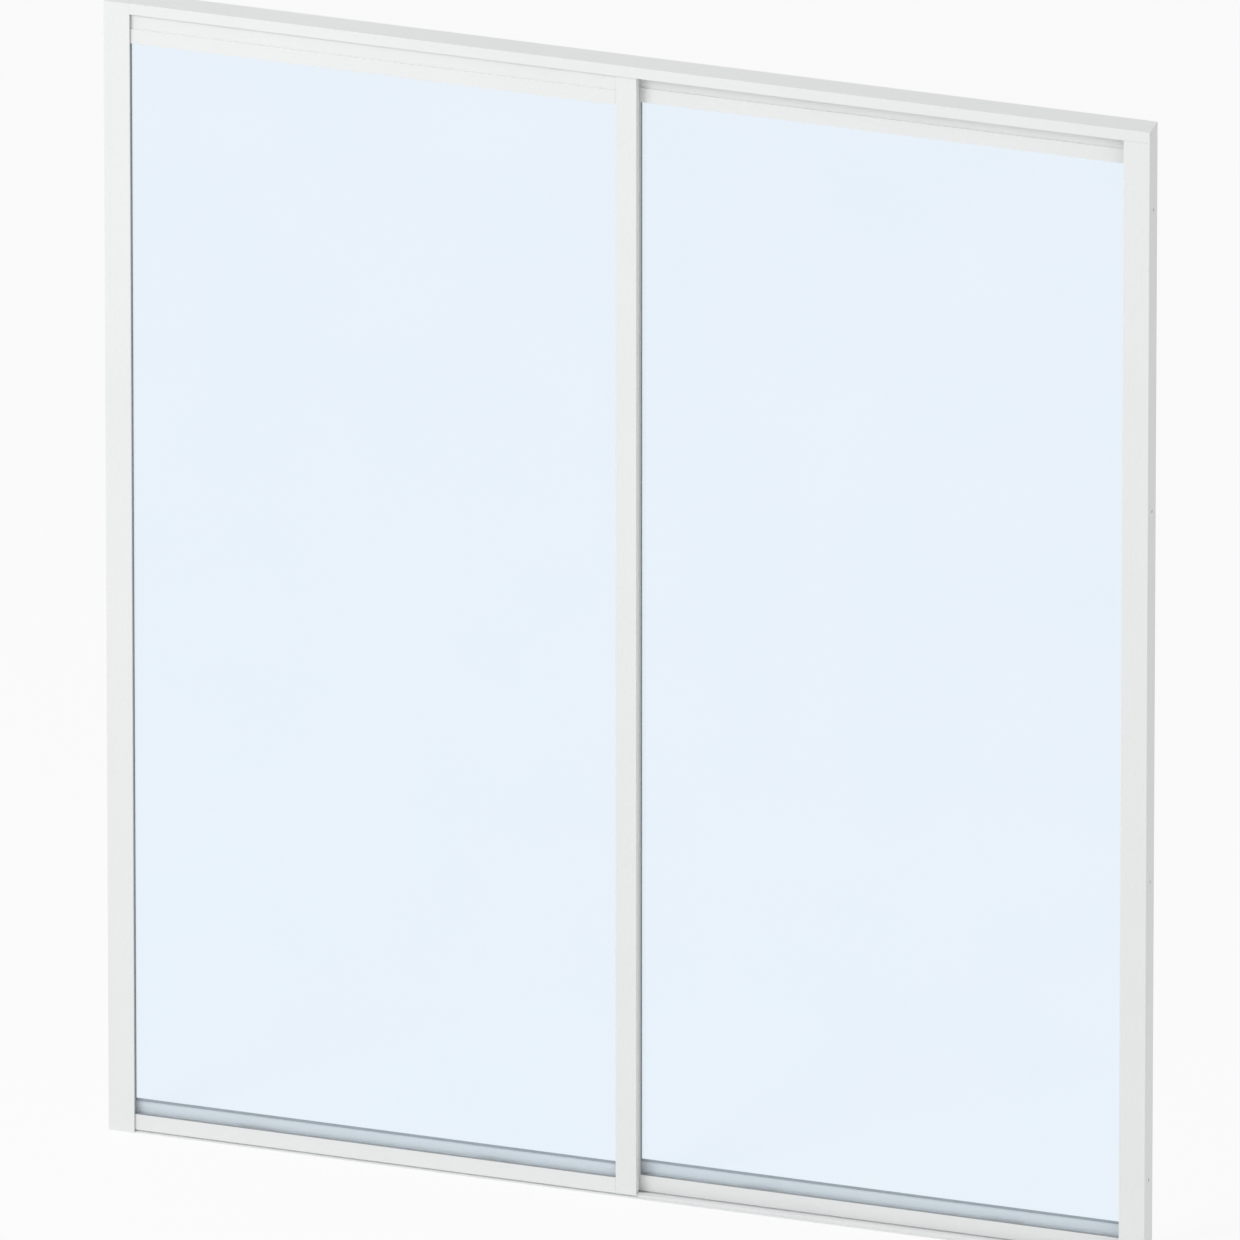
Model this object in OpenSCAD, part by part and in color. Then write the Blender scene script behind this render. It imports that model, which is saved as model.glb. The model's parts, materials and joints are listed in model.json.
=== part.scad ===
// Pair of sliding glazed doors in a slim aluminium frame.
// Both doors roll on a low sill rail and pass each other: the front door starts on the left,
// the rear door on the right, and their middle stiles hook together when both are closed.
// X runs along the opening, Y from the front to the rear and Z up. The origin is on the floor,
// at the middle of the sill.

/* [Frame] */
// Overall width of the frame
frame_w = 1800; // [1500:10:2400]
// Overall height of the frame
frame_h = 2080; // [1900:10:2400]
// Depth of the frame from front to rear
frame_d = 46; // [45:0.5:60]
// Wall thickness of the frame extrusions
frame_wall = 2; // [1.6:0.1:2.4]
// Face width of each jamb, at the front
jamb_face = 45; // [44:1:60]
// Face width of each jamb at the rear
jamb_rear_face = 36; // [30:1:45]
// Height of the head's fascia
head_drop = 20; // [19:1:30]
// Rounding of the frame's and the stiles' long outer edges
edge_r = 0.8; // [0.3:0.1:1]
// Rounding of the rails' free edges
arris_r = 0.5; // [0.2:0.1:0.6]

/* [Sill] */
// Thickness of the sill's base plate
sill_t = 2; // [1.5:0.1:2.5]
// Width of each roller rail on the sill
rail_w = 8; // [7:0.5:9]
// Height of the rails' running face above the floor
rail_top = 6.5; // [6:0.1:7.5]

/* [Doors] */
// Thickness of a door
door_t = 15; // [14.5:0.1:15.5]
// Distance between the middle planes of the two doors
track_pitch = 22; // [21.5:0.1:23]
// Wall thickness of the door extrusions
door_wall = 1.6; // [1.4:0.1:1.8]
// Face width of the stile that closes into a jamb
jamb_stile_w = 32; // [28:1:32]
// Face width of the middle stile
interlock_w = 36; // [32:1:44]
// Gap under the door
door_lift = 4.5; // [4:0.1:5.5]
// Height of the top rail's glazed part
top_rail_h = 26; // [22:1:40]
// Height of the narrow neck above it, which runs up into the head
neck_h = 38.5; // [30:0.5:50]
// How much narrower the neck is than the rail, on each side
neck_step = 2.6; // [1:0.1:2.8]
// How far the door reaches up into the head
head_reach = 10; // [8:0.5:10]
// How much taller the bottom rail's inner leg is than its outer one
inner_leg_rise = 25; // [10:1:40]
// Depth of the glazing groove in the stiles and the top rail
groove_d = 8; // [7:0.5:10]
// Gap between a closed door and the jamb's web, which the bumpers fill
stop_gap = 10; // [8:0.5:12]

/* [Glass] */
// Thickness of the pane
glass_t = 5; // [4:0.5:6]
// How far the pane reaches into the rails and stiles
glass_bite = 6; // [5:0.5:6.5]
// Thickness of the setting blocks under the pane
block_t = 2; // [1.5:0.5:3]
// Length of a setting block
block_len = 60; // [40:5:100]
// Depth of the gaskets below the edge of the rails and stiles
gasket_h = 3; // [2:0.5:5]
// How far a gasket's bead stands out over the pane
bead = 0.8; // [0.4:0.1:2]
// Thickness of that bead, measured from the pane
bead_t = 2; // [1:0.1:2.5]

/* [Rollers] */
// Diameter of a wheel's tread
wheel_d = 16; // [14:0.5:18]
// Width of a wheel
wheel_w = 6; // [5:0.5:6.5]
// Diameter of the axle pins
axle_d = 4; // [3:0.5:5]
// Length of a roller carriage
carriage_len = 60; // [50:5:80]
// Gap between the tread and the rail, and between a bumper and a door
touch_gap = 0.3; // [0.2:0.05:0.5]
// Radial play of a wheel on its axle
axle_play = 0.05; // [0.02:0.01:0.1]
// Side play of a wheel in its carriage, and of a top guide in the head
side_play = 0.4; // [0.3:0.1:0.6]

/* [Fittings] */
// Diameter of the frame screws' shanks
frame_screw_d = 2.9; // [2.5:0.1:3.2]
// Diameter of the door screws' shanks
door_screw_d = 3.5; // [3:0.1:4]
// Diameter of the holes for fixing the frame to a wall
fixing_d = 6.5; // [5:0.5:8]
// Distance of a jamb's outer fixing holes from the frame's top and bottom
fixing_end = 150; // [80:10:300]
// Distance of a jamb's inner fixing holes from the frame's top and bottom
fixing_mid = 700; // [500:10:900]
// Length of the top guides
guide_len = 40; // [30:5:60]
// Height of the rubber bumpers
bumper_h = 50; // [30:5:80]
// Length of the anti-lift blocks in the head
lift_block_len = 60; // [40:5:100]
// Thickness of the plugs in the stiles' ends
cap_t = 2.5; // [1.5:0.1:2.8]

/* [Hidden] */
$fn = 64;
seat_play = 0.02;
carriage_play = 0.2;
cap_play = 0.1;
half_w = frame_w / 2;
half_d = frame_d / 2;
web_x = half_w - frame_wall;
head_z = frame_h - head_drop;
plate_z = frame_h - frame_wall;
inner_y = half_d - frame_wall;

// Door heights, from the floor up
wheel_headroom = 0.7;
axle_z = rail_top + touch_gap + wheel_d / 2;
floor_z = axle_z + wheel_d / 2 + wheel_headroom;
glass_z0 = floor_z + door_wall + block_t;
outer_leg_z = glass_z0 + glass_bite;
inner_leg_z = outer_leg_z + inner_leg_rise;
door_z1 = head_z + head_reach;
shoulder_z = door_z1 - neck_h;
top_rail_z = shoulder_z - top_rail_h;
glass_z1 = top_rail_z + glass_bite;

// Door widths, for the front door; the rear door is its mirror image
door_x0 = -web_x + stop_gap;
door_x1 = interlock_w / 2;
rail_x0 = door_x0 + jamb_stile_w;
rail_x1 = -interlock_w / 2;
half_t = door_t / 2;
cavity = half_t - door_wall;
neck_half = half_t - neck_step;
half_glass = glass_t / 2;

// Screws
port_r = 2.8;
port_sink = 0.8;
port_y = inner_y - port_r + port_sink;
port_z = plate_z - port_r + port_sink;
frame_screw_len = 25;
frame_head_r = 2.7;
frame_head_h = 1.5;
sill_screw_z = rail_top / 2;
door_screw_reach = 16;
door_head_r = 3;
door_head_h = 2.4;
driver_hole_r = 4;
neck_port_h = 7;
neck_port_z = (shoulder_z + door_z1) / 2;
carriage_lift = 1;
carriage_z0 = rail_top + carriage_lift;
carriage_screw_z = (carriage_z0 + floor_z) / 2;

// Interlock hooks
hook_t = 1.2;
hook_lip = 9.2;
hook_x = 5;
hook_base = 11;
hook_reach = 1.7;
hook_margin = 6;
hook_gap = 2;
gap_half = track_pitch / 2 - half_t;

// Seals, guides and bumpers
pile_w = 6;
pile_back = 1;
pile_end = 1;
bumper_w = 12;
bumper_low = 140;
bumper_high = 200;
bumper_z = [bumper_low, frame_h - bumper_high];
guide_drop = 8;
guide_t = 1.6;
notch_lift = 2;
notch_z = rail_top + notch_lift;
lift_block_half = min(port_y - port_r - track_pitch / 2, track_pitch / 2 - frame_wall / 2) - touch_gap;
lift_block_gap = 0.6;
sill_slope = 1.2;

// Wheels and carriages
hub_t = 1.6;
rim_t = 1.8;
wheel_web = 2.4;
tread_bevel = 0.5;
carriage_r = 1.5;
pocket_end = 1;

// Colours of the finishes
coat = "white";
pane = [0.91, 0.96, 1, 0.5];
rubber = [0.25, 0.26, 0.27];
nylon = [0.85, 0.85, 0.82];
steel = "silver";

// Carries a section drawn in Y and Z along X, from x0 to x1
module along_x(x0, x1) {
    translate([x0, 0, 0]) rotate([90, 0, 90]) linear_extrude(x1 - x0) children();
}

// Carries a section drawn in X and Y up from z0 to z1
module along_z(z0, z1) {
    translate([0, 0, z0]) linear_extrude(z1 - z0) children();
}

// A rectangle between two corners
module rect(x0, y0, x1, y1) {
    translate([x0, y0]) square([x1 - x0, y1 - y0]);
}

// A rectangle between two corners with its corners rounded
module round_rect(x0, y0, x1, y1, r) {
    rect(x0 + r, y0, x1 - r, y1);
    rect(x0, y0 + r, x1, y1 - r);
    for (x = [x0 + r, x1 - r], y = [y0 + r, y1 - r]) translate([x, y]) circle(r);
}

// A round bar along X, from x0 to x1
module bar_x(x0, x1, r, y, z) {
    translate([x0, y, z]) rotate([0, 90, 0]) cylinder(r = r, h = x1 - x0);
}

// Where the frame's screws enter the ends of the head and the sill: [y, z]
head_ports = [[-port_y, port_z], [port_y, port_z]];
sill_ports = [[-track_pitch / 2, sill_screw_z], [track_pitch / 2, sill_screw_z]];

// Head: an upside-down E whose two channels guide the doors, coped to enter the left jamb
module head_track() {
    color(coat) difference() {
        along_x(-web_x, web_x) difference() {
            union() {
                difference() {
                    round_rect(-half_d, head_z, half_d, frame_h, edge_r);
                    for (s = [0, 1]) mirror([s, 0])
                        rect(frame_wall / 2, head_z - 1, inner_y, plate_z);
                }
                for (p = head_ports) translate(p) circle(port_r);
            }
            for (p = head_ports) translate(p) circle(frame_screw_d / 2 + seat_play);
        }
        for (s = [-1, 1]) translate([-half_w, s > 0 ? inner_y : -half_d - 1, head_z - 1])
            cube([s > 0 ? jamb_rear_face : jamb_face, frame_wall + 1, head_drop + 2]);
    }
}

// Sill: a low base plate with sloped edges and one running rail under each door
module sill_track() {
    color(coat) along_x(-web_x, web_x) difference() {
        union() {
            polygon([
                [-inner_y, 0], [inner_y, 0],
                [inner_y, sill_t - sill_slope], [inner_y - 2 * sill_slope, sill_t],
                [2 * sill_slope - inner_y, sill_t], [-inner_y, sill_t - sill_slope]]);
            for (p = sill_ports)
                round_rect(p[0] - rail_w / 2, 0, p[0] + rail_w / 2, rail_top, edge_r);
        }
        for (p = sill_ports) translate(p) circle(frame_screw_d / 2 + seat_play);
    }
}

// Countersunk screw hole or screw head in a jamb's web, at the outer face of the left jamb
module web_countersink(p, play) {
    translate([-half_w, p[0], p[1]]) rotate([0, 90, 0])
        cylinder(r1 = frame_head_r + play, r2 = frame_screw_d / 2 + play, h = frame_head_h);
}

// Left jamb's section: a U that opens towards the doors, with a shorter flange at the rear
module jamb_section() {
    difference() {
        for (side = [[jamb_face, -half_d], [jamb_rear_face, 0]]) intersection() {
            round_rect(-half_w, -half_d, side[0] - half_w, half_d, edge_r);
            rect(-half_w, side[1], half_w, side[1] + half_d);
        }
        rect(-web_x, -inner_y, half_w, inner_y);
    }
}

// Jamb with its screw and fixing holes; its flanges end at flange_top
module jamb(flange_top) {
    color(coat) difference() {
        along_z(0, frame_h) jamb_section();
        translate([-web_x, -half_d - 1, flange_top]) cube([jamb_face, frame_d + 2, frame_h]);
        for (p = concat(head_ports, sill_ports)) {
            web_countersink(p, seat_play);
            bar_x(-half_w - 1, -web_x + 1, frame_screw_d / 2 + seat_play, p[0], p[1]);
        }
        for (z = [fixing_end, fixing_mid])
            for (hole_z = [z, frame_h - z]) bar_x(-half_w - 1, -web_x + 1, fixing_d / 2, 0, hole_z);
    }
}

module left_jamb() {
    jamb(frame_h);
}

// The right jamb's flanges stop under the head and its web closes the head's end
module right_jamb() {
    mirror([1, 0, 0]) jamb(head_z);
}

// Countersunk screws through the jambs' webs into the head and the sill
module frame_screws() {
    color(steel) for (m = [0, 1]) mirror([m, 0, 0])
        for (p = concat(head_ports, sill_ports)) {
            web_countersink(p, 0);
            bar_x(-half_w, -web_x + frame_screw_len, frame_screw_d / 2, p[0], p[1]);
        }
}

// Rubber stops on a jamb's web, for the closed door and for the other one when it is open
module left_bumpers() {
    color(rubber) for (z = bumper_z, s = [-1, 1])
        translate([-web_x, s * track_pitch / 2, z]) rotate([0, 90, 0])
            linear_extrude(stop_gap - touch_gap) round_rect(
                -bumper_h / 2, -bumper_w / 2, bumper_h / 2, bumper_w / 2, bumper_w / 4);
}

module right_bumpers() {
    mirror([1, 0, 0]) left_bumpers();
}

// Pile strips inside a jamb's flanges, which brush along the door faces
module left_pile_seals() {
    pile_tip = track_pitch / 2 + half_t + touch_gap;
    color(rubber) for (s = [-1, 1]) {
        pile_x = -half_w + (s > 0 ? jamb_rear_face : jamb_face) - pile_w - edge_r;
        along_z(rail_top + pile_end, head_z - pile_end) scale([1, s]) union() {
            rect(pile_x, inner_y - pile_back, pile_x + pile_w, inner_y);
            rect(pile_x + pile_w / 4, pile_tip, pile_x + pile_w * 3 / 4, inner_y);
        }
    }
}

module right_pile_seals() {
    mirror([1, 0, 0]) left_pile_seals();
}

// Nylon blocks under the head's top plate, which keep a closed door from being lifted out
module anti_lift_blocks() {
    block_z = door_z1 + guide_t + lift_block_gap;
    color(nylon) for (s = [-1, 1])
        translate([s * half_w / 2, s * track_pitch / 2, 0]) along_z(block_z, plate_z) round_rect(
            -lift_block_len / 2, -lift_block_half, lift_block_len / 2, lift_block_half, edge_r);
}

// Puts a door's piece on its track; the rear door is mirrored left to right
module on_track(rear) {
    translate([0, (rear ? 1 : -1) * track_pitch / 2, 0]) mirror([rear ? 1 : 0, 0, 0]) children();
}

// Top rail: a glazing groove below, and a narrow neck that runs up into the head
module top_rail() {
    color(coat) along_x(rail_x0, rail_x1) difference() {
        union() {
            for (s = [0, 1]) mirror([s, 0]) {
                round_rect(cavity, top_rail_z, half_t, shoulder_z, arris_r);
                rect(neck_half - door_wall, shoulder_z - door_wall, neck_half, door_z1);
            }
            rect(-cavity - door_wall / 2, top_rail_z + groove_d,
                 cavity + door_wall / 2, top_rail_z + groove_d + door_wall);
            rect(-cavity - door_wall / 2, shoulder_z - door_wall, cavity + door_wall / 2, shoulder_z);
            rect(-neck_half, door_z1 - door_wall, neck_half, door_z1);
            rect(-neck_half, neck_port_z - neck_port_h / 2, neck_half, neck_port_z + neck_port_h / 2);
        }
        translate([0, neck_port_z]) circle(door_screw_d / 2 + seat_play);
    }
}

// Bottom rail: a low outer leg, a taller inner leg and a floor that carries the pane
module bottom_rail() {
    color(coat) along_x(rail_x0, rail_x1) {
        round_rect(-half_t, door_lift, -cavity, outer_leg_z, arris_r);
        round_rect(cavity, door_lift, half_t, inner_leg_z, arris_r);
        rect(-cavity - door_wall / 2, floor_z, cavity + door_wall / 2, floor_z + door_wall);
    }
}

// Stile of width w whose glazing groove opens to +X at x = 0; holes for a driver on its far side
module stile(w) {
    difference() {
        along_z(door_lift, door_z1) difference() {
            round_rect(-w, -half_t, 0, half_t, edge_r);
            rect(-w + door_wall, -cavity, -groove_d - door_wall, cavity);
            rect(-groove_d, -cavity, 1, cavity);
        }
        translate([-w - 1, -cavity, door_lift - 1])
            cube([w + 2, 2 * cavity, notch_z - door_lift + 1]);
        for (z = [carriage_screw_z, neck_port_z]) {
            bar_x(-w - 1, -w + door_wall + 1, driver_hole_r, 0, z);
            bar_x(-groove_d - door_wall - 1, -groove_d + 1, door_screw_d / 2 + seat_play, 0, z);
        }
    }
}

module jamb_stile() {
    color(coat) translate([rail_x0, 0, 0]) stile(jamb_stile_w);
}

module interlock_stile() {
    color(coat) translate([rail_x1, 0, 0]) mirror([1, 0, 0]) stile(interlock_w);
}

module glass() {
    color(pane) translate([rail_x0 - glass_bite, -half_glass, glass_z0])
        cube([rail_x1 - rail_x0 + 2 * glass_bite, glass_t, glass_z1 - glass_z0]);
}

// Ring along the edge of the visible glass, which starts at sight_z: its depth into the rails and
// stiles, and how far it stands out over the pane
module ring(sight_z, depth, rise) {
    difference() {
        rect(rail_x0 - depth, sight_z - depth, rail_x1 + depth, top_rail_z + depth);
        rect(rail_x0 + rise, sight_z + rise, rail_x1 - rise, top_rail_z - rise);
    }
}

// Gasket on the pane's rear face: a packing in the groove, with a thinner bead along the sight line
module gasket(sight_z) {
    color(rubber) {
        translate([0, cavity, 0]) rotate([90, 0, 0]) linear_extrude(cavity - half_glass)
            ring(sight_z, gasket_h, 0);
        translate([0, half_glass + bead_t, 0]) rotate([90, 0, 0]) linear_extrude(bead_t)
            ring(sight_z, gasket_h, bead);
    }
}

module outer_gasket() {
    mirror([0, 1, 0]) gasket(outer_leg_z);
}

module inner_gasket() {
    gasket(inner_leg_z);
}

// Setting blocks at the quarter points of the pane
module setting_blocks() {
    rail_len = rail_x1 - rail_x0;
    color(rubber) for (q = [1, 3])
        translate([rail_x0 + q * rail_len / 4 - block_len / 2, -cavity, floor_z + door_wall])
            cube([block_len, 2 * cavity, block_t]);
}

// Nylon guides that straddle the neck and run between the head's walls
module top_guides() {
    guide_half = min(inner_y - track_pitch / 2, track_pitch / 2 - frame_wall / 2) - side_play;
    color(nylon) for (x = [rail_x0 + guide_len, rail_x1 - 2 * guide_len])
        along_x(x, x + guide_len) difference() {
            round_rect(-guide_half, door_z1 - guide_drop, guide_half, door_z1 + guide_t, edge_r);
            rect(-neck_half, door_z1 - guide_drop - 1, neck_half, door_z1);
        }
}

// Pan-head screws through the stiles into the top rail's port and the carriages
module corner_screws() {
    color(steel) for (z = [carriage_screw_z, neck_port_z]) {
        x0 = rail_x0 - groove_d - door_wall;
        x1 = rail_x1 + groove_d + door_wall;
        bar_x(x0 - door_head_h, x0, door_head_r, 0, z);
        bar_x(x0, rail_x0 + door_screw_reach, door_screw_d / 2, 0, z);
        bar_x(x1, x1 + door_head_h, door_head_r, 0, z);
        bar_x(rail_x1 - door_screw_reach, x1, door_screw_d / 2, 0, z);
    }
}

// Hook strip on the front door's rear face; its lip passes behind the rear door's lip
module front_hook() {
    color(coat) along_z(rail_top + hook_margin, head_z - hook_margin) union() {
        rect(hook_x, -gap_half, hook_x + hook_base, -gap_half + hook_t);
        rect(hook_x, -gap_half, hook_x + hook_t, hook_reach);
        rect(hook_x + hook_t - hook_lip, hook_reach - hook_t, hook_x + hook_t, hook_reach);
    }
}

module interlock_hook(rear) {
    rotate([0, 0, rear ? 180 : 0]) front_hook();
}

// Pile strip on the middle stile's face, which the other door's hook lip brushes along
module interlock_pile(rear) {
    color(rubber) rotate([0, 0, rear ? 180 : 0]) along_z(rail_top + hook_margin, head_z - hook_margin)
        rect(hook_x - hook_gap - pile_w, -gap_half, hook_x - hook_gap, -hook_reach - touch_gap);
}

// Plugs in the hollow ends of a stile that is drawn as stile(w) is
module stile_end_plugs(w) {
    for (z = [notch_z, door_z1 - cap_t]) along_z(z, z + cap_t)
        rect(-w + door_wall + cap_play, -cavity + cap_play,
             -groove_d - door_wall - cap_play, cavity - cap_play);
}

module stile_caps() {
    color(nylon) {
        translate([rail_x0, 0, 0]) stile_end_plugs(jamb_stile_w);
        translate([rail_x1, 0, 0]) mirror([1, 0, 0]) stile_end_plugs(interlock_w);
    }
}

// Flush caps in the stiles' driver holes
module screw_hole_caps() {
    color(coat) for (z = [carriage_screw_z, neck_port_z]) {
        bar_x(door_x0, door_x0 + door_wall, driver_hole_r - cap_play, 0, z);
        bar_x(door_x1 - door_wall, door_x1, driver_hole_r - cap_play, 0, z);
    }
}

// Middle of a carriage along X: at the jamb stile or at the middle stile
function carriage_x(middle) =
    middle ? rail_x1 - carriage_len / 2 : rail_x0 + carriage_len / 2;

// Moulded carriage in the end of the bottom rail, with a pocket for the wheel
module carriage(middle) {
    half_width = cavity - carriage_play;
    pocket = wheel_d / 2 + pocket_end;
    color(nylon) translate([carriage_x(middle), 0, 0]) difference() {
        along_z(carriage_z0, floor_z) difference() {
            round_rect(-carriage_len / 2, -half_width, carriage_len / 2, half_width, carriage_r);
            rect(-pocket, -wheel_w / 2 - side_play, pocket, wheel_w / 2 + side_play);
        }
        translate([0, -half_t, axle_z]) rotate([-90, 0, 0])
            cylinder(d = axle_d + 2 * seat_play, h = door_t);
        bar_x(-carriage_len / 2 - 1, carriage_len / 2 + 1,
              door_screw_d / 2 + seat_play, 0, carriage_screw_z);
    }
}

module axle(middle) {
    half_width = cavity - carriage_play;
    color(steel) translate([carriage_x(middle), -half_width, axle_z]) rotate([-90, 0, 0])
        cylinder(d = axle_d, h = 2 * half_width);
}

// Wheel with a bevelled rim, a thinner web and a hub on the axle, turned about its axle
module wheel(middle) {
    bore = axle_d / 2 + axle_play;
    hub = bore + hub_t;
    tread = wheel_d / 2;
    inside = tread - rim_t;
    half = wheel_w / 2;
    half_web = wheel_web / 2;
    color(nylon) translate([carriage_x(middle), 0, axle_z]) rotate([-90, 0, 0]) rotate_extrude()
        polygon([
            [bore, -half], [hub, -half], [hub, -half_web], [inside, -half_web], [inside, -half],
            [tread - tread_bevel, -half], [tread, tread_bevel - half], [tread, half - tread_bevel],
            [tread - tread_bevel, half], [inside, half], [inside, half_web], [hub, half_web],
            [hub, half], [bore, half]]);
}

head_track();
sill_track();
left_jamb();
right_jamb();
frame_screws();
left_bumpers();
right_bumpers();
left_pile_seals();
right_pile_seals();
anti_lift_blocks();
for (rear = [false, true]) {
    door = rear ? "rear_" : "front_";
    on_track(rear) top_rail();
    on_track(rear) bottom_rail();
    on_track(rear) jamb_stile();
    on_track(rear) interlock_stile();
    on_track(rear) glass();
    on_track(rear) outer_gasket();
    on_track(rear) inner_gasket();
    on_track(rear) setting_blocks();
    on_track(rear) top_guides();
    on_track(rear) corner_screws();
    interlock_hook(rear);
    interlock_pile(rear);
    on_track(rear) stile_caps();
    on_track(rear) screw_hole_caps();
    for (middle = [false, true]) {
        roller = str(door, middle ? "middle_" : "outer_");
        on_track(rear) carriage(middle);
        on_track(rear) axle(middle);
        on_track(rear) wheel(middle);
    }
}
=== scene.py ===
"""Looks of a pair of sliding glazed doors in a slim white aluminium frame.

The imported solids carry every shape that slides, rolls or holds. This script gives each of them its finish,
makes the soft pieces as they are (glazing gaskets, brush seals and rubber bumpers) and the frame screws with
their threads and cross recesses, and sets a white studio around them.
"""
import json
import math

import bmesh
import bpy
import numpy as np
from mathutils import Matrix, Vector


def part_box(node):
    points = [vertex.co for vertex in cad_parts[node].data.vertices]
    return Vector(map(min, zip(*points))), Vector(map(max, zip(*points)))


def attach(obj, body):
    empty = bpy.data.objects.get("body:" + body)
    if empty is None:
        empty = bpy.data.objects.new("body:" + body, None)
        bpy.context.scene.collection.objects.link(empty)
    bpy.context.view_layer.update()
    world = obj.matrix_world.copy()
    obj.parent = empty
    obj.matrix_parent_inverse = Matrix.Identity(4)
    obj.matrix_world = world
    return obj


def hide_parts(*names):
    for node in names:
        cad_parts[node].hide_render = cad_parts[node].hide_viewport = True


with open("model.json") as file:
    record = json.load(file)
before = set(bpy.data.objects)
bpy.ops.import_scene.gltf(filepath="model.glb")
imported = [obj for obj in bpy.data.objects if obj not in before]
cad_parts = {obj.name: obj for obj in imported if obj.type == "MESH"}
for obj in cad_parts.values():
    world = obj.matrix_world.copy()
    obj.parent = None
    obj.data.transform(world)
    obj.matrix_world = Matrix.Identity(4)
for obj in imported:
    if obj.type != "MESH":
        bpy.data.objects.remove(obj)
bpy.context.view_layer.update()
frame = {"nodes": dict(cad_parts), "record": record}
MM = 0.001

# Camera, as measured on the drawing: a parallel view, so a very long lens from far away
VIEW_AZIMUTH = math.radians(16.65)
VIEW_ELEVATION = math.radians(25.68)
VIEW_WIDTH = 2065.1 * MM
VIEW_LEFT_OF_ORIGIN = 15.1 * MM
VIEW_ABOVE_ORIGIN = 953.0 * MM
LENS_MM = 1500
SENSOR_MM = 36
CLIP_NEAR = 1.0
CLIP_FAR = 400

# Studio: half the floor's width, the share of plain white in it as it is seen, the sky's strength, and the
# key lamp with the height that it aims at
FLOOR_HALF = 40.0
FLOOR_GLOW = 0.85
SKY_LIGHT = 0.6
KEY_PLACE = (-4.6, -8.2, 7.6)
KEY_SIZE = 4.6
KEY_WATTS = 430
AIM_HEIGHT = 1.0

# Sizes of the patterns in the finishes, and the depth of their relief
COAT_TONE = 180 * MM
COAT_PEEL = 5 * MM
COAT_RELIEF = 1.5 * MM
GLASS_WAVE = 260 * MM
GLASS_RELIEF = 0.2 * MM
POLYMER_PATCH = 25 * MM
POLYMER_RELIEF = 0.2 * MM
POLYMER_ROUGH_SPREAD = 0.08
ZINC_CLOUD = 3 * MM

# Scale of the coat's peel on level and on upright extrusions: half along their length draws it out twofold
LEVEL = (0.5, 1.0, 1.0)
UPRIGHT = (1.0, 1.0, 0.5)

# Glazing gaskets: their depth in the groove, their gap to the pane, the lip on it and the barbs at the back
GASKET_DEPTH = 3.0 * MM
PANE_GAP = 0.05 * MM
LIP_OUT = 0.8 * MM
LIP_THICK = 2.2 * MM
LIP_POINTS = 10
BARB = 0.5 * MM
BARBS = 3

# Brush seals: the woven backing, the section's points across it in half widths, the four of them that are the
# pile's tips, the tufts, and the jamb seals' gap to the stiles
BACKING_HALF = 3.0 * MM
BACKING_THICK = {"seals": 1.0 * MM, "pile": 0.5 * MM}
BRUSH_ACROSS = np.array([-1, -1, -0.62, -0.5, -0.34, -0.12, 0.12, 0.34, 0.5, 0.62, 1, 1])
PILE_TIPS = slice(4, 8)
TUFT_STEP = 1.3 * MM
TUFT_RAGGED = 0.35 * MM
TUFT_LEAN = 0.25 * MM
TUFT_SEED = 11
SEAL_CLEAR = 0.3 * MM

# Rubber bumpers: half their size, the power of their rounded outline, and the profile of their side
BUMPER_HALF_Y = 6.0 * MM
BUMPER_HALF_Z = 25.0 * MM
BUMPER_POWER = 6
BUMPER_SIDES = 64
FOOT = 2.4 * MM
WAIST = 0.8 * MM
NOSE = 3.0 * MM
NOSE_RINGS = 8

# Frame screws: countersunk, self-tapping, with a cross recess. HEAD_SCREW and SILL_SCREW are how far from the
# middle of the jamb, and how high, the screws into the head and into the sill sit
SCREW_HEAD_R = 2.7 * MM
SCREW_SHANK_R = 1.45 * MM
SCREW_CONE = 1.5 * MM
SCREW_POINT = 3.0 * MM
SCREW_LENGTH = 27 * MM
THREAD_PITCH = 1.1 * MM
THREAD_DEPTH = 0.3 * MM
CROSS_ARM = 1.6 * MM
CROSS_HALF = 0.42 * MM
CROSS_DEPTH = 0.9 * MM
CROSS_SOFT = 0.2 * MM
SCREW_SIDES = 48
FLAT_RINGS = 20
CONE_RINGS = 4
TURN_RINGS = 8
HEAD_SCREW = (19 * MM, 2076 * MM)
SILL_SCREW = (11 * MM, 3.25 * MM)
SCREW_PLACES = [(side * y, z) for side in (-1, 1) for y, z in (HEAD_SCREW, SILL_SCREW)]

# Points of a new piece that are closer than this become one
WELD = 0.001 * MM


def linear(hex_code):
    """Linear RGBA of an sRGB hex colour, by the sRGB transfer curve."""
    srgb = np.array([int(hex_code[i:i + 2], 16) for i in (1, 3, 5)]) / 255
    rgb = np.where(srgb <= 0.04045, srgb / 12.92, ((srgb + 0.055) / 1.055) ** 2.4)
    return (*rgb.tolist(), 1.0)


def add(tree, kind, settings=None, inputs=None):
    """Adds a node; an input given as (node, output) is linked, any other is set on the socket."""
    node = tree.nodes.new(kind)
    for name, value in (settings or {}).items():
        setattr(node, name, value)
    for name, value in (inputs or {}).items():
        if isinstance(value, tuple) and isinstance(value[0], bpy.types.Node):
            tree.links.new(value[0].outputs[value[1]], node.inputs[name])
        else:
            node.inputs[name].default_value = value
    return node


def new_material(name):
    """A material with an empty node tree."""
    mat = bpy.data.materials.new(name)
    mat.use_nodes = True
    mat.node_tree.nodes.clear()
    return mat, mat.node_tree


def finish_material(tree, shader):
    """Links a shader to the material's output."""
    add(tree, "ShaderNodeOutputMaterial", inputs={"Surface": (shader, 0)})


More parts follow.
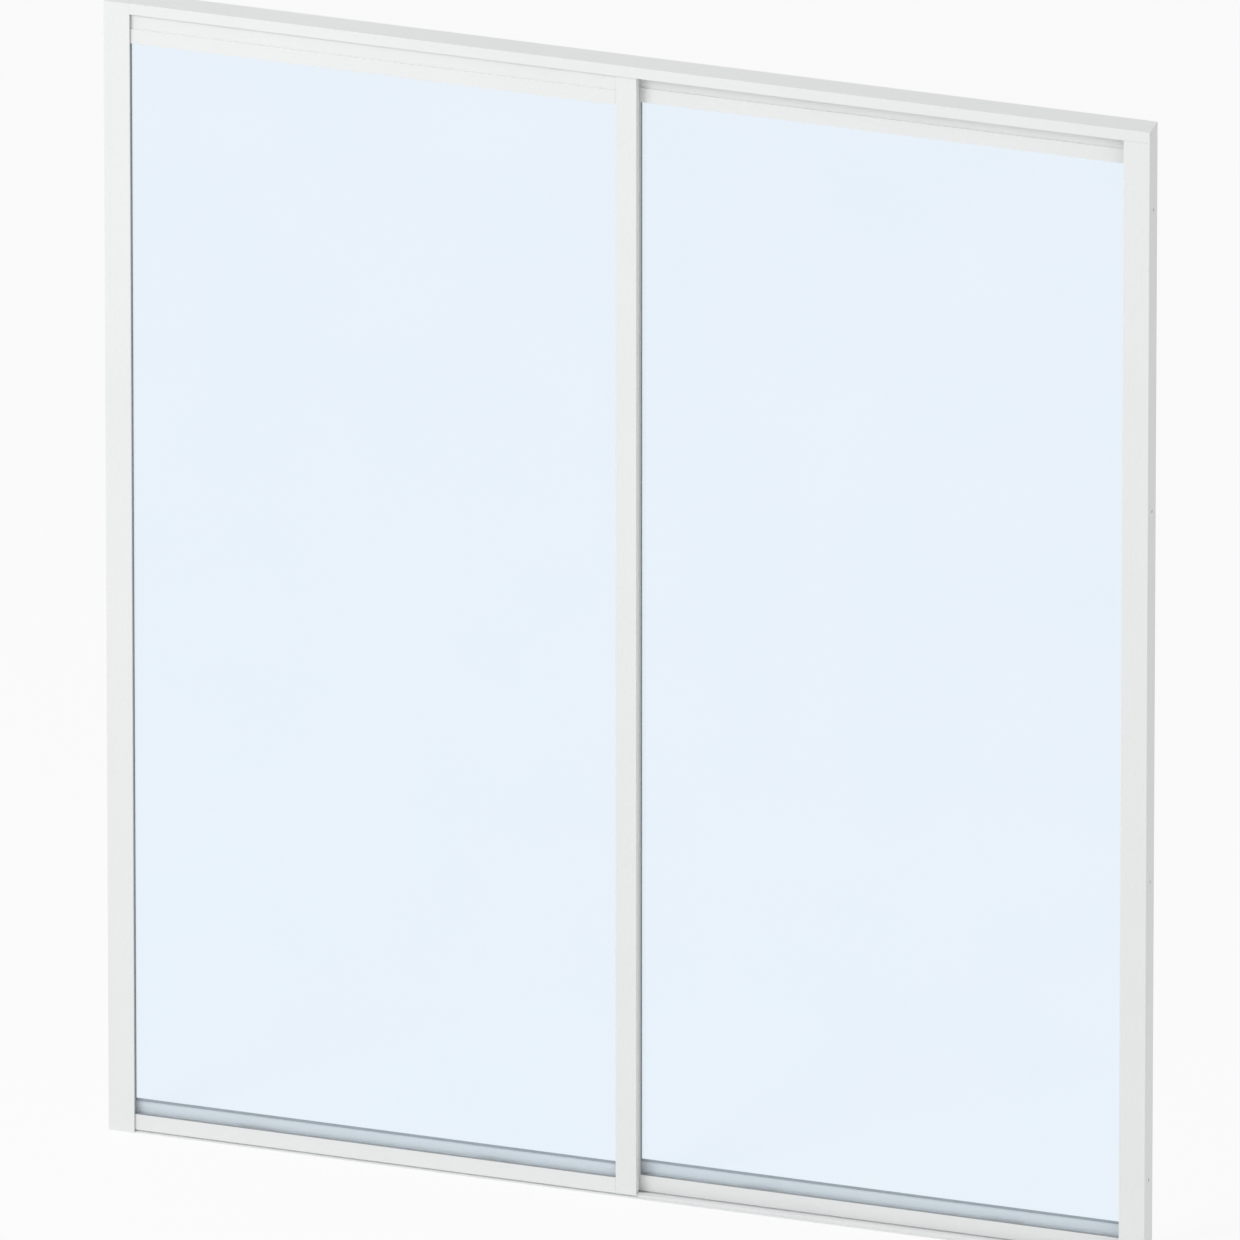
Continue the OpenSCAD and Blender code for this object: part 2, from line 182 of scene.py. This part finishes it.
def seen_directly(tree):
    """1 for rays from the eye, off a mirror or through glass, 0 for those that carry light to the object."""
    path = add(tree, "ShaderNodeLightPath")
    seen = add(tree, "ShaderNodeMath", {"operation": "MAXIMUM"},
               {0: (path, "Is Camera Ray"), 1: (path, "Is Glossy Ray")})
    return add(tree, "ShaderNodeMath", {"operation": "MAXIMUM"},
               {0: (seen, 0), 1: (path, "Is Transmission Ray")})


def powder_coat(name, stretch):
    """White polyester powder coat, baked on an extrusion: satin, with faint orange peel.

    The real peel is about 1 mm wide; it is drawn at 5 mm, and deeper, so that it shows. stretch draws it out
    along the extrusion, as the metal's die lines do under the coat."""
    mat, tree = new_material(name)
    coords = add(tree, "ShaderNodeTexCoord")
    mapped = add(tree, "ShaderNodeMapping", inputs={"Vector": (coords, "Object"), "Scale": stretch})
    tone = add(tree, "ShaderNodeTexNoise",
               inputs={"Vector": (coords, "Object"), "Scale": 1 / COAT_TONE, "Detail": 3.0})
    peel = add(tree, "ShaderNodeTexNoise",
               inputs={"Vector": (mapped, 0), "Scale": 1 / COAT_PEEL, "Detail": 2.0})
    colour = add(tree, "ShaderNodeMix", {"data_type": "RGBA"},
                 {0: (tone, 0), 6: linear("#F5F6F6"), 7: linear("#EFF1F1")})
    gloss = add(tree, "ShaderNodeMapRange", inputs={0: (peel, 0), 3: 0.36, 4: 0.48})
    bump = add(tree, "ShaderNodeBump",
               inputs={"Height": (peel, 0), "Strength": 0.5, "Distance": COAT_RELIEF})
    finish_material(tree, add(tree, "ShaderNodeBsdfPrincipled", inputs={
        "Base Color": (colour, 2), "Roughness": (gloss, 0), "Normal": (bump, 0), "IOR": 1.5}))
    return mat


def float_glass():
    """Pale blue body-tinted float glass: fire-polished, with long faint waves from being drawn as a ribbon.

    Light from the lamps, and light off other surfaces, passes straight through and untinted, so that what
    lies behind the pane is lit as if the pane were open."""
    mat, tree = new_material("tinted_float_glass")
    coords = add(tree, "ShaderNodeTexCoord")
    wave = add(tree, "ShaderNodeTexNoise",
               inputs={"Vector": (coords, "Object"), "Scale": 1 / GLASS_WAVE, "Detail": 1.0})
    tint = add(tree, "ShaderNodeMix", {"data_type": "RGBA"},
               {0: (wave, 0), 6: linear("#EAF5FF"), 7: linear("#EEF7FF")})
    bump = add(tree, "ShaderNodeBump",
               inputs={"Height": (wave, 0), "Strength": 0.05, "Distance": GLASS_RELIEF})
    pane = add(tree, "ShaderNodeBsdfPrincipled", inputs={
        "Base Color": (tint, 2), "Roughness": 0.0, "IOR": 1.52, "Transmission Weight": 1.0,
        "Normal": (bump, 0)})
    clear = add(tree, "ShaderNodeBsdfTransparent", inputs={"Color": linear("#FFFFFF")})
    path = add(tree, "ShaderNodeLightPath")
    shader = pane
    for ray in ("Is Shadow Ray", "Is Diffuse Ray"):
        shader = add(tree, "ShaderNodeMixShader", inputs={0: (path, ray), 1: (shader, 0), 2: (clear, 0)})
    finish_material(tree, shader)
    return mat


def polymer(name, dark, pale, rough, grain_mm, relief):
    """A plain polymer: two close tones in soft patches, and a fine matt grain.

    The real grain is about 0.1 mm wide; it is drawn at 0.8 to 2 mm, so that it shows."""
    mat, tree = new_material(name)
    coords = add(tree, "ShaderNodeTexCoord")
    patch = add(tree, "ShaderNodeTexNoise",
                inputs={"Vector": (coords, "Object"), "Scale": 1 / POLYMER_PATCH, "Detail": 4.0})
    grain = add(tree, "ShaderNodeTexNoise",
                inputs={"Vector": (coords, "Object"), "Scale": 1 / (grain_mm * MM), "Detail": 2.0})
    colour = add(tree, "ShaderNodeMix", {"data_type": "RGBA"},
                 {0: (patch, 0), 6: linear(dark), 7: linear(pale)})
    matt = add(tree, "ShaderNodeMapRange", inputs={
        0: (grain, 0), 3: rough - POLYMER_ROUGH_SPREAD, 4: rough + POLYMER_ROUGH_SPREAD})
    bump = add(tree, "ShaderNodeBump",
               inputs={"Height": (grain, 0), "Strength": relief, "Distance": POLYMER_RELIEF})
    finish_material(tree, add(tree, "ShaderNodeBsdfPrincipled", inputs={
        "Base Color": (colour, 2), "Roughness": (matt, 0), "Normal": (bump, 0)}))
    return mat


def zinc_plate():
    """Bright zinc-plated steel, turned and barrel-plated: grey metal with a cloudy, uneven gloss."""
    mat, tree = new_material("zinc_plated_steel")
    coords = add(tree, "ShaderNodeTexCoord")
    cloud = add(tree, "ShaderNodeTexNoise",
                inputs={"Vector": (coords, "Object"), "Scale": 1 / ZINC_CLOUD, "Detail": 4.0})
    colour = add(tree, "ShaderNodeMix", {"data_type": "RGBA"},
                 {0: (cloud, 0), 6: linear("#B9BCBE"), 7: linear("#D8DADA")})
    gloss = add(tree, "ShaderNodeMapRange", inputs={0: (cloud, 0), 3: 0.22, 4: 0.42})
    finish_material(tree, add(tree, "ShaderNodeBsdfPrincipled", inputs={
        "Base Color": (colour, 2), "Roughness": (gloss, 0), "Metallic": 1.0}))
    return mat


coat_level = powder_coat("powder_coat_on_level_extrusion", LEVEL)
coat_upright = powder_coat("powder_coat_on_upright_extrusion", UPRIGHT)
glass = float_glass()
# Soft extruded strip: an even, matt mid-grey
gasket_rubber = polymer("grey_tpe_gasket", "#9DA3A7", "#A9AFB3", rough=0.6, grain_mm=1.5, relief=0.06)
# Rubber from a mould: near black and dull
black_rubber = polymer("moulded_epdm_rubber", "#3A3D40", "#4A4E52", rough=0.7, grain_mm=2.0, relief=0.1)
# Cut pile of fine fibres: mottled grey, with hardly any gloss
brush = polymer("polypropylene_pile", "#7E8387", "#A0A5A9", rough=0.9, grain_mm=0.8, relief=0.3)
# Nylon from a mould: off-white and half matt
nylon = polymer("moulded_nylon", "#D6D5CE", "#E3E2DC", rough=0.5, grain_mm=1.2, relief=0.08)
# The same in the frame's white, for the caps that show
white_nylon = polymer("moulded_white_nylon", "#F0F1F1", "#F7F8F8", rough=0.45, grain_mm=1.2, relief=0.05)
# Turned from rod: a waxy cream, smoother than the mouldings
acetal = polymer("turned_acetal", "#E2DCC8", "#ECE7D8", rough=0.35, grain_mm=0.8, relief=0.05)
zinc = zinc_plate()

# Finish of each node, and of each piece made here, by the ending of its name
FINISHES = {
    "head_track": coat_level, "sill_track": coat_level, "top_rail": coat_level, "bottom_rail": coat_level,
    "jamb": coat_upright, "stile": coat_upright, "hook": coat_upright,
    "glass": glass, "gasket": gasket_rubber, "setting_blocks": black_rubber, "bumpers": black_rubber,
    "seals": brush, "pile": brush, "guides": nylon, "carriage": nylon, "lift_blocks": nylon,
    "stile_caps": nylon, "hole_caps": white_nylon, "wheel": acetal, "axle": zinc, "screws": zinc,
}


def by_ending(table, name):
    """The table's value for the ending that a node's name has."""
    return next(value for ending, value in table.items() if name.endswith(ending))


for name, solid in frame["nodes"].items():
    solid.data.materials.clear()
    solid.data.materials.append(by_ending(FINISHES, name))


def shell(points, wrap_rows=False, wrap_cols=False):
    """A grid's points as one list, and the quads between neighbours; a wrapped direction joins its ends."""
    rows, cols = points.shape[:2]
    index = np.arange(rows * cols).reshape(rows, cols)
    if wrap_rows:
        index = np.concatenate([index, index[:1]])
    if wrap_cols:
        index = np.concatenate([index, index[:, :1]], axis=1)
    quads = np.stack([index[:-1, :-1], index[:-1, 1:], index[1:, 1:], index[1:, :-1]], axis=-1)
    return points.reshape(-1, 3), quads.reshape(-1, 4)


def closed_tube(rings):
    """A tube through the rings, with a last ring at each end drawn in to its middle, which closes it."""
    middles = np.repeat(rings[[0, -1]].mean(axis=1, keepdims=True), rings.shape[1], axis=1)
    return shell(np.concatenate([middles[:1], rings, middles[1:]]), wrap_cols=True)


def make_piece(node, shells):
    """The piece that stands for a CAD node: its shells in one mesh, poles merged and faces outwards."""
    point_lists, quad_lists = zip(*shells)
    starts = np.cumsum([0] + [len(points) for points in point_lists[:-1]])
    points = np.concatenate(point_lists)
    quads = np.concatenate([quads + start for quads, start in zip(quad_lists, starts)])
    mesh = bpy.data.meshes.new(node + "_form")
    mesh.from_pydata(points.tolist(), [], quads.tolist())
    work = bmesh.new()
    work.from_mesh(mesh)
    bmesh.ops.remove_doubles(work, verts=work.verts, dist=WELD)
    bmesh.ops.recalc_face_normals(work, faces=work.faces)
    work.to_mesh(mesh)
    work.free()
    mesh.materials.append(by_ending(FINISHES, node))
    made = bpy.data.objects.new(node + "_form", mesh)
    bpy.context.scene.collection.objects.link(made)
    bodies = frame["record"]["behaviour"]["bodies"]
    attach(made, next(body for body, nodes in bodies.items() if node in nodes))
    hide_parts(node)


def gasket(node, pane_side):
    """A gasket's section carried round the pane, mitred at its four corners.

    The section is (into the groove, away from the pane): the lip is a quarter of an ellipse from the pane up
    to the rail's edge, and the back has saw-tooth barbs that grip the groove. At a corner both X and Z move
    out by the first value, which gives the mitre."""
    low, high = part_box(node)
    thick = high.y - low.y
    turn = np.linspace(0, np.pi / 2, LIP_POINTS)
    lip = np.stack([-LIP_OUT * np.cos(turn), PANE_GAP + LIP_THICK * np.sin(turn)], axis=1)
    step = np.repeat(np.linspace(0, GASKET_DEPTH, BARBS + 1), 2)[1:-1]
    barbs = np.stack([step, thick - BARB * (np.arange(2 * BARBS) % 2)], axis=1)
    section = np.concatenate([lip, barbs, [(GASKET_DEPTH, PANE_GAP)]])
    into, away = section.T
    side_x = np.array([-1, 1, 1, -1])[:, None]
    side_z = np.array([-1, -1, 1, 1])[:, None]
    x = np.where(side_x < 0, low.x + GASKET_DEPTH, high.x - GASKET_DEPTH) + side_x * into
    z = np.where(side_z < 0, low.z + GASKET_DEPTH, high.z - GASKET_DEPTH) + side_z * into
    pane_y = high.y if pane_side > 0 else low.y
    y = np.broadcast_to(pane_y - pane_side * away, x.shape)
    make_piece(node, [shell(np.stack([x, y, z], axis=-1), wrap_rows=True, wrap_cols=True)])


def brush_strip(mid_x, back_y, tip_y, low_z, high_z, backing, rng):
    """A brush seal as one closed strip: a flat woven backing with a ridge of pile whose tips are ragged.

    The section is (across, out from the back); along Z the pile's four tips lean sideways and fall short by
    random amounts, new ones in each row of tufts."""
    rows = int((high_z - low_z) / TUFT_STEP)
    pile = np.zeros(len(BRUSH_ACROSS), bool)
    pile[PILE_TIPS] = True
    out = np.where(pile, abs(tip_y - back_y), backing)
    out[[0, -1]] = 0
    lean = TUFT_LEAN * rng.uniform(-1, 1, (rows, len(pile)))
    across = BRUSH_ACROSS * BACKING_HALF + pile * lean
    out = out - pile * TUFT_RAGGED * rng.random((rows, len(pile)))
    z = np.broadcast_to(np.linspace(low_z, high_z, rows)[:, None], across.shape)
    return closed_tube(np.stack([mid_x + across, back_y + np.sign(tip_y - back_y) * out, z], axis=-1))


def bumper(root, y, z, height):
    """A rubber buffer along X: rings of a superellipse, |y/a|^n + |z/b|^n = 1, inset by its side's profile.

    The profile is (inset, height): a foot, a waist groove, a straight side and a quarter-round nose."""
    around = np.linspace(0, 2 * np.pi, BUMPER_SIDES, endpoint=False)
    power = 2 / BUMPER_POWER
    ring_y = np.sign(np.cos(around)) * np.abs(np.cos(around)) ** power
    ring_z = np.sign(np.sin(around)) * np.abs(np.sin(around)) ** power
    turn = np.linspace(0, np.pi / 2, NOSE_RINGS)
    nose = np.stack([NOSE * (1 - np.cos(turn)), abs(height) - NOSE + NOSE * np.sin(turn)], axis=1)
    side = [(0, 0), (0, FOOT), (WAIST, FOOT + WAIST / 2), (WAIST, FOOT + WAIST), (0, FOOT + 2 * WAIST)]
    inset, rise = np.concatenate([side, nose]).T[..., None]
    return closed_tube(np.stack([
        np.broadcast_to(root + math.copysign(1, height) * rise, (len(rise), len(around))),
        y + (BUMPER_HALF_Y - inset) * ring_y, z + (BUMPER_HALF_Z - inset) * ring_z], axis=-1))


def bumpers(node):
    """Four buffers on a jamb's web, two on each track, near the foot and the head."""
    low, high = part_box(node)
    root, height = (low.x, high.x - low.x) if low.x < 0 else (high.x, low.x - high.x)
    make_piece(node, [
        bumper(root, y, z, height)
        for y in (low.y + BUMPER_HALF_Y, high.y - BUMPER_HALF_Y)
        for z in (low.z + BUMPER_HALF_Z, high.z - BUMPER_HALF_Z)])


def screw(face, inward, y, z, length):
    """A countersunk self-tapping screw along X: one grid of rings, from the middle of its head to its point.

    Each ring has a radius and a depth under the jamb's face. On the flat of the head a cross of two bars
    sinks the rings; on the shank the radius falls by a triangle wave of depth / pitch - angle / 2 pi, which
    is the thread; the point's radius falls evenly to nothing."""
    around = np.linspace(0, 2 * np.pi, SCREW_SIDES, endpoint=False)
    turns = int((length - SCREW_CONE) / THREAD_PITCH)
    flat = np.linspace(0, SCREW_HEAD_R, FLAT_RINGS)
    cone = np.linspace(SCREW_HEAD_R, SCREW_SHANK_R, CONE_RINGS)
    down = np.linspace(SCREW_CONE, length, turns * TURN_RINGS)
    shank = SCREW_SHANK_R * np.clip((length - down) / SCREW_POINT, 0, 1)
    radius = np.concatenate([flat, cone, shank])[:, None]
    depth = np.concatenate([0 * flat, np.linspace(0, SCREW_CONE, CONE_RINGS), down])[:, None]
    phase = (depth / THREAD_PITCH - around / (2 * np.pi)) % 1
    on_shank = (np.arange(len(radius)) >= len(flat) + len(cone))[:, None]
    cut = THREAD_DEPTH * np.abs(2 * phase - 1) * on_shank
    radius = np.maximum(radius - cut, 0)
    a, b = np.abs(radius * np.cos(around)), np.abs(radius * np.sin(around))
    bars = [np.clip((CROSS_HALF - wide) / CROSS_SOFT, 0, 1) * np.clip((CROSS_ARM - long) / CROSS_SOFT, 0, 1)
            for wide, long in ((a, b), (b, a))]
    on_face = (np.arange(len(radius)) < len(flat))[:, None]
    depth = depth + CROSS_DEPTH * np.maximum(*bars) * on_face
    return shell(np.stack([face + inward * depth, y + radius * np.cos(around), z + radius * np.sin(around)],
                          axis=-1), wrap_cols=True)


rng = np.random.default_rng(TUFT_SEED)
seal_tip_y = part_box("rear_jamb_stile")[1].y + SEAL_CLEAR
for door in ("front", "rear"):
    gasket(f"{door}_outer_gasket", 1)
    gasket(f"{door}_inner_gasket", -1)
for jamb in ("left", "right"):
    bumpers(f"{jamb}_bumpers")
    low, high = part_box(f"{jamb}_pile_seals")
    rear_x, front_x = (low.x, high.x) if low.x < 0 else (high.x, low.x)
    inwards = math.copysign(BACKING_HALF, front_x)
    make_piece(f"{jamb}_pile_seals", [
        brush_strip(front_x + inwards, low.y, -seal_tip_y, low.z, high.z, BACKING_THICK["seals"], rng),
        brush_strip(rear_x - inwards, high.y, seal_tip_y, low.z, high.z, BACKING_THICK["seals"], rng)])
for door, side in (("front", -1), ("rear", 1)):
    low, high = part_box(f"{door}_interlock_pile")
    back, tip = (low.y, high.y) if side < 0 else (high.y, low.y)
    make_piece(f"{door}_interlock_pile", [
        brush_strip((low.x + high.x) / 2, back, tip, low.z, high.z, BACKING_THICK["pile"], rng)])
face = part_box("right_jamb")[1].x
make_piece("frame_screws", [screw(-inward * face, inward, y, z, SCREW_LENGTH)
                            for inward in (-1, 1) for y, z in SCREW_PLACES])


def studio_floor():
    """A flat white floor, wide enough to fill every view.

    Seen directly, it is plain white by the share FLOOR_GLOW, and the rest of it keeps the object's shadow."""
    mesh = bpy.data.meshes.new("floor")
    half = FLOOR_HALF
    corners = [(-half, -half, 0), (half, -half, 0), (half, half, 0), (-half, half, 0)]
    mesh.from_pydata(corners, [], [(0, 1, 2, 3)])
    floor = bpy.data.objects.new("floor", mesh)
    bpy.context.scene.collection.objects.link(floor)
    mat, tree = new_material("white_studio_floor")
    paint = add(tree, "ShaderNodeBsdfDiffuse", inputs={"Color": linear("#FDFDFD")})
    white = add(tree, "ShaderNodeEmission", inputs={"Color": (1, 1, 1, 1), "Strength": 1.0})
    share = add(tree, "ShaderNodeMath", {"operation": "MULTIPLY"},
                {0: (seen_directly(tree), 0), 1: FLOOR_GLOW})
    finish_material(tree, add(tree, "ShaderNodeMixShader",
                              inputs={0: (share, 0), 1: (paint, 0), 2: (white, 0)}))
    mesh.materials.append(mat)


def studio_light():
    """A white sky for even light, which the eye, mirrors and glass see at full white, and a soft key lamp."""
    world = bpy.data.worlds.new("white_studio")
    bpy.context.scene.world = world
    world.use_nodes = True
    tree = world.node_tree
    tree.nodes.clear()
    power = add(tree, "ShaderNodeMapRange", inputs={0: (seen_directly(tree), 0), 3: SKY_LIGHT, 4: 1.0})
    sky = add(tree, "ShaderNodeBackground", inputs={"Color": (1, 1, 1, 1), "Strength": (power, 0)})
    add(tree, "ShaderNodeOutputWorld", inputs={"Surface": (sky, 0)})
    lamp = bpy.data.lights.new("key_lamp", "AREA")
    lamp.size = KEY_SIZE
    lamp.energy = KEY_WATTS
    key = bpy.data.objects.new("key_lamp", lamp)
    key.location = KEY_PLACE
    aim = Vector((0, 0, AIM_HEIGHT)) - Vector(KEY_PLACE)
    key.rotation_euler = aim.to_track_quat("-Z", "Y").to_euler()
    bpy.context.scene.collection.objects.link(key)


def photo_camera():
    """The drawing's view: axes from its azimuth and elevation, and a place far back along its sight line."""
    sin_a, cos_a = math.sin(VIEW_AZIMUTH), math.cos(VIEW_AZIMUTH)
    sin_e, cos_e = math.sin(VIEW_ELEVATION), math.cos(VIEW_ELEVATION)
    right = Vector((cos_a, sin_a, 0))
    up = Vector((-sin_a * sin_e, cos_a * sin_e, cos_e))
    back = right.cross(up)
    target = up * VIEW_ABOVE_ORIGIN - right * VIEW_LEFT_OF_ORIGIN
    data = bpy.data.cameras.new("photo_camera")
    data.lens = LENS_MM
    data.sensor_width = SENSOR_MM
    data.clip_start = CLIP_NEAR
    data.clip_end = CLIP_FAR
    camera = bpy.data.objects.new("photo_camera", data)
    place = Matrix((right, up, back)).transposed().to_4x4()
    place.translation = target + back * (VIEW_WIDTH * LENS_MM / SENSOR_MM)
    camera.matrix_world = place
    bpy.context.scene.collection.objects.link(camera)
    bpy.context.scene.camera = camera


studio_floor()
studio_light()
photo_camera()
bpy.context.scene.view_settings.view_transform = "Standard"
